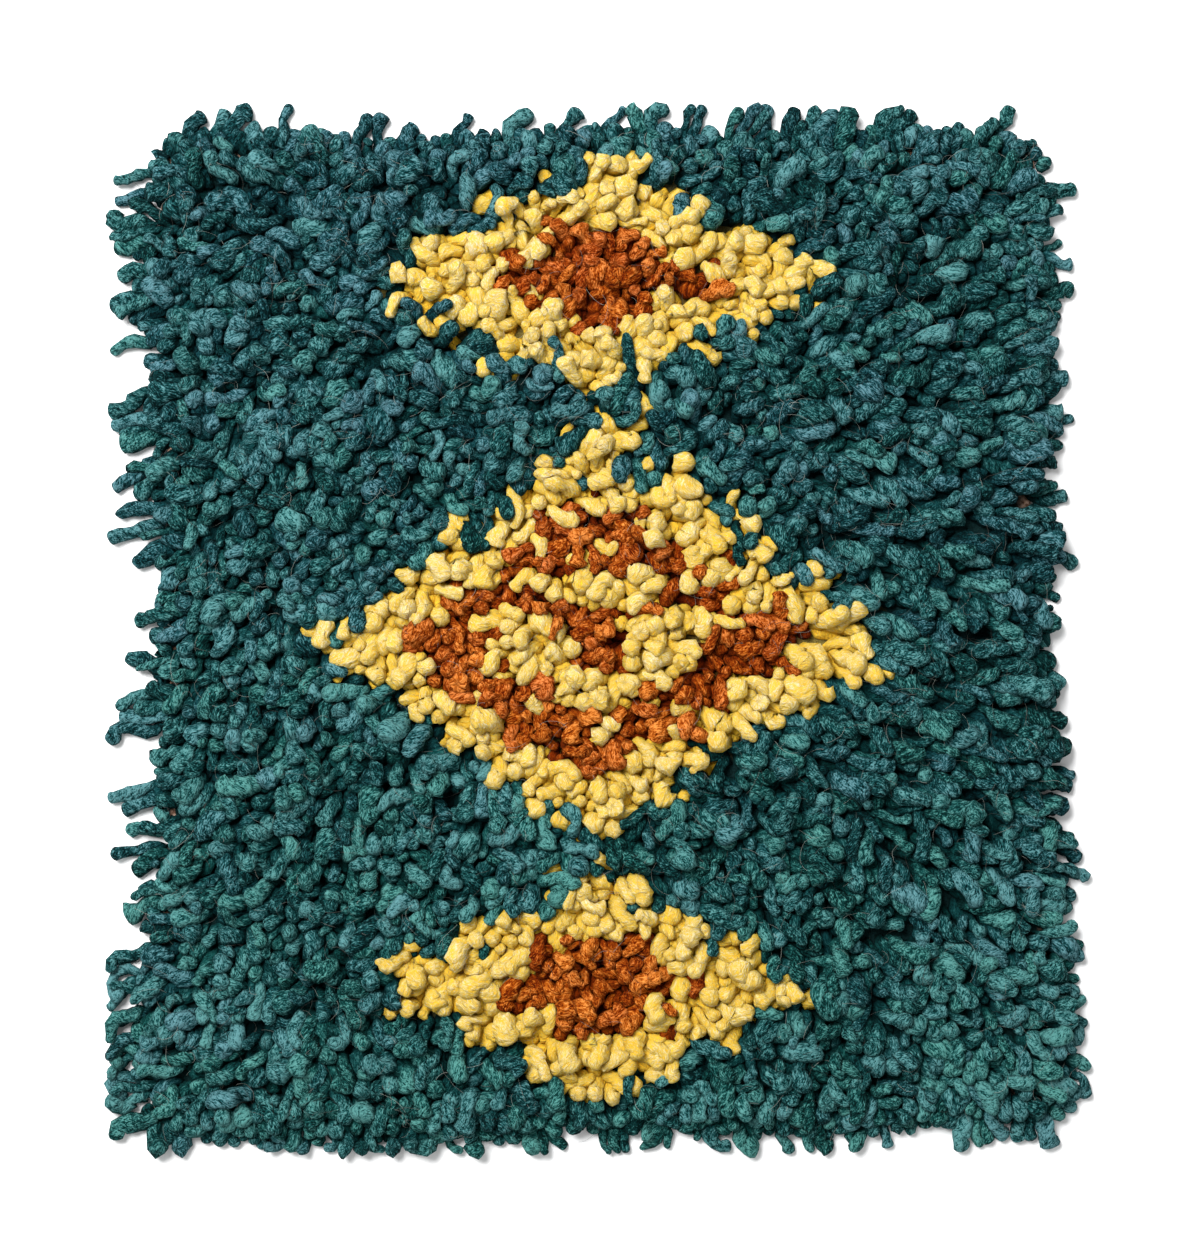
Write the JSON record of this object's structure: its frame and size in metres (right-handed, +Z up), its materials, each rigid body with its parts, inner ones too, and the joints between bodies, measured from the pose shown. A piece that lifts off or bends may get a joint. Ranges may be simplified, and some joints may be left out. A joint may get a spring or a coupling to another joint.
{
  "type": "chair rug",
  "caption": "Square shag chair rug of thick knotted wool locks on a woven ground, lying flat, with lozenges in a contrasting wool down its middle and single locks standing out all round its rim.",
  "frame": {"origin": "on the floor, under the middle of the rug's outline with its rim locks", "axes": "+Z up out of the pile, +Y towards the upper side in the picture, +X towards the right side in the picture"},
  "size_m": [0.4954, 0.5292, 0.028],
  "materials": {
    "teal_wool": "matte felted wool",
    "yellow_wool": "matte felted wool",
    "rust_wool": "matte felted wool",
    "ground_weave": "plain weave of undyed yarn"
  },
  "bodies": {
    "root": {"shag_rug": "teal_wool"}
  },
  "joints": []
}
